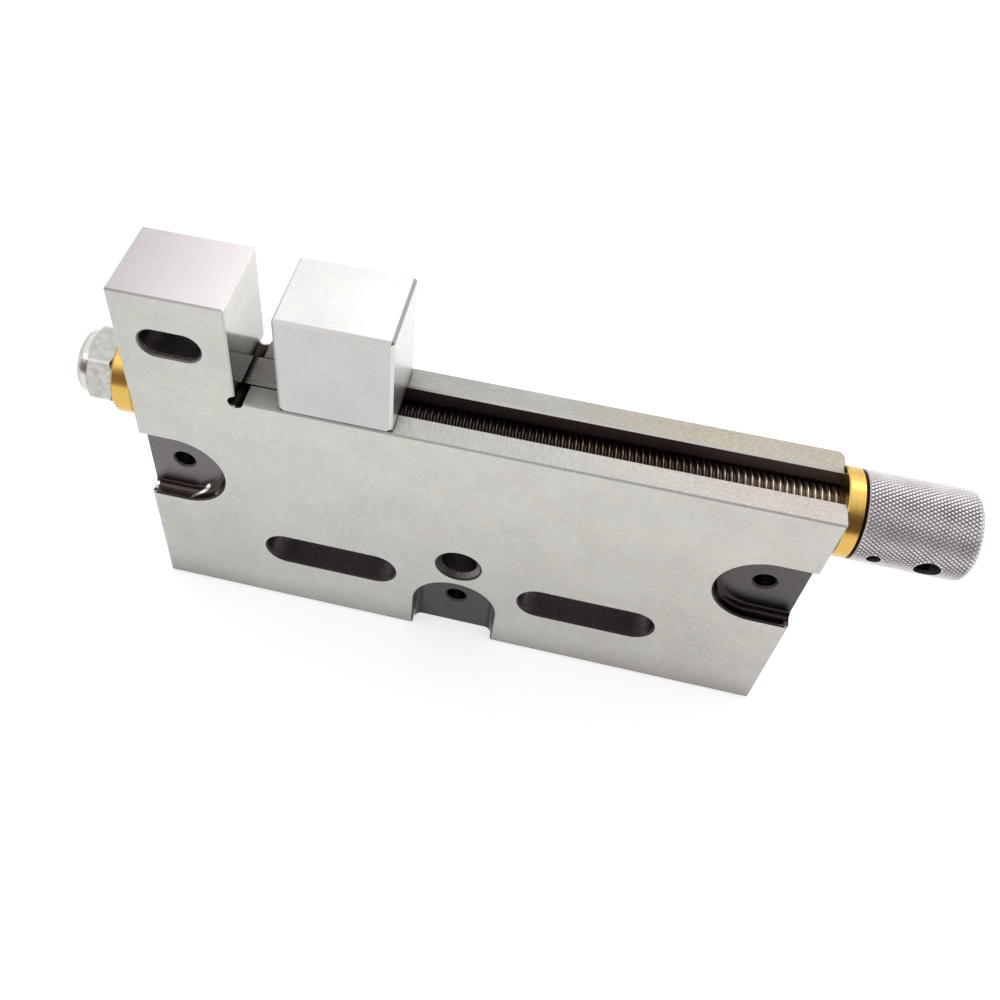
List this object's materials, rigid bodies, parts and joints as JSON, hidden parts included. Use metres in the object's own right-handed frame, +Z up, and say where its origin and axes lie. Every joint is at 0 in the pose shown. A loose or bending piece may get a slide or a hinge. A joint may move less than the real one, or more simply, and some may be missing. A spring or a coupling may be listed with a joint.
{
  "type": "precision vise",
  "caption": "Slim ground steel precision vise with an upright fixed jaw, a jaw sliding in a T-slot, a lead screw, brass bushes and a knurled knob.",
  "frame": {"origin": "middle of the body's ground base", "axes": "+X along the lead screw towards the knob, +Y towards the plain back face, +Z up"},
  "size_m": [0.2039, 0.021, 0.106],
  "materials": {
    "ground_steel": "fine surface ground, semi-matt",
    "jaw_steel": "fine surface ground, semi-matt",
    "screw_steel": "oiled machined thread",
    "brass": "turned, bright",
    "knurled_steel": "diamond knurled, satin plated",
    "black_steel": "black oxide",
    "zinc_plate": "bright zinc plate",
    "nylon": "natural nylon"
  },
  "bodies": {
    "frame": {"body": "ground_steel", "front_bush": "brass", "rear_bush": "brass"},
    "jaw": {"movable_jaw": "jaw_steel"},
    "spindle": {"lead_screw": "screw_steel", "knob": "knurled_steel", "knob_grub_screw": "black_steel", "lock_nut": "zinc_plate", "lock_nut_insert": "nylon"}
  },
  "joints": [
    {"name": "screw_turn", "type": "hinge", "parent": "frame", "child": "spindle", "pos_m": [0, 0, 0.0702], "axis": [1, 0, 0], "range_deg": [-21600, 2400]},
    {"name": "jaw_slide", "type": "slide", "parent": "frame", "child": "jaw", "axis": [1, 0, 0], "range_m": [-0.00998, 0.09]}
  ],
  "couplings": [
    {"joint": "screw_turn", "follows": "jaw_slide", "rad_per_m": -4188.8}
  ]
}
